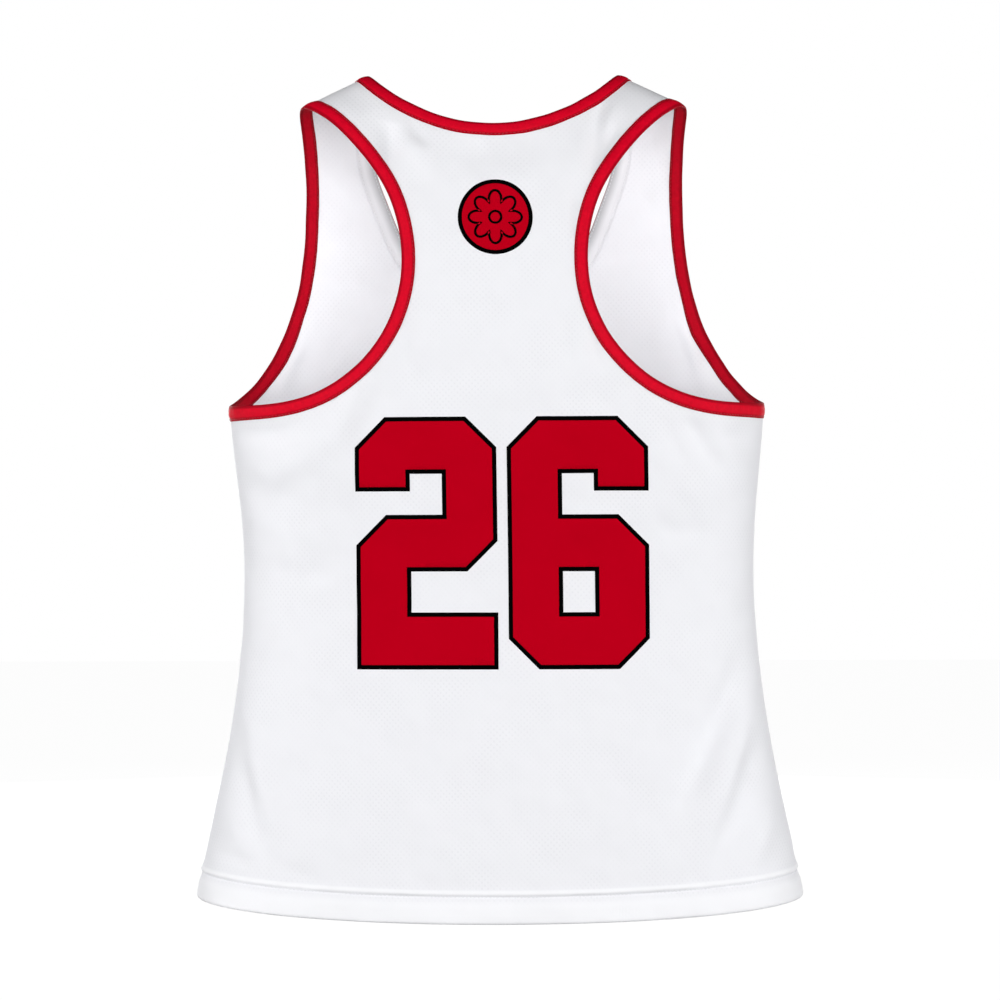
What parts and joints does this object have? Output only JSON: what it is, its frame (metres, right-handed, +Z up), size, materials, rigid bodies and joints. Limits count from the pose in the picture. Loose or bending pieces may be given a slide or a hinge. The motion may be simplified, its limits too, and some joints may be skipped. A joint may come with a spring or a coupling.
{
  "type": "lacrosse pinnie",
  "caption": "Racerback lacrosse pinnie in white mesh jersey with red bound neck and armholes and a block number on the back, filled out and hollow.",
  "frame": {"origin": "middle of the two shoulder straps' tops, on the centre plane, where the wearer's shoulders carry the garment", "axes": "+Z up the garment, -Y out of its back, +Y out of its front, +X to its own right"},
  "size_m": [0.483, 0.2062, 0.6641],
  "materials": {
    "white_mesh_jersey": "matte polyester mesh",
    "white_neck_tape": "matte woven tape",
    "red_binding": "soft sheen knit",
    "red_number_cloth": "matte pressed film",
    "black_number_cloth": "matte pressed film"
  },
  "bodies": {
    "root": {"back_panel": "white_mesh_jersey", "front_panel": "white_mesh_jersey", "neck_binding": "red_binding", "left_armhole_binding": "red_binding", "right_armhole_binding": "red_binding", "front_neck_tape": "white_neck_tape", "number_2_outline": "black_number_cloth", "number_2_fill": "red_number_cloth", "number_6_outline": "black_number_cloth", "number_6_fill": "red_number_cloth", "badge_outline": "black_number_cloth", "badge_face": "red_number_cloth"}
  },
  "joints": []
}
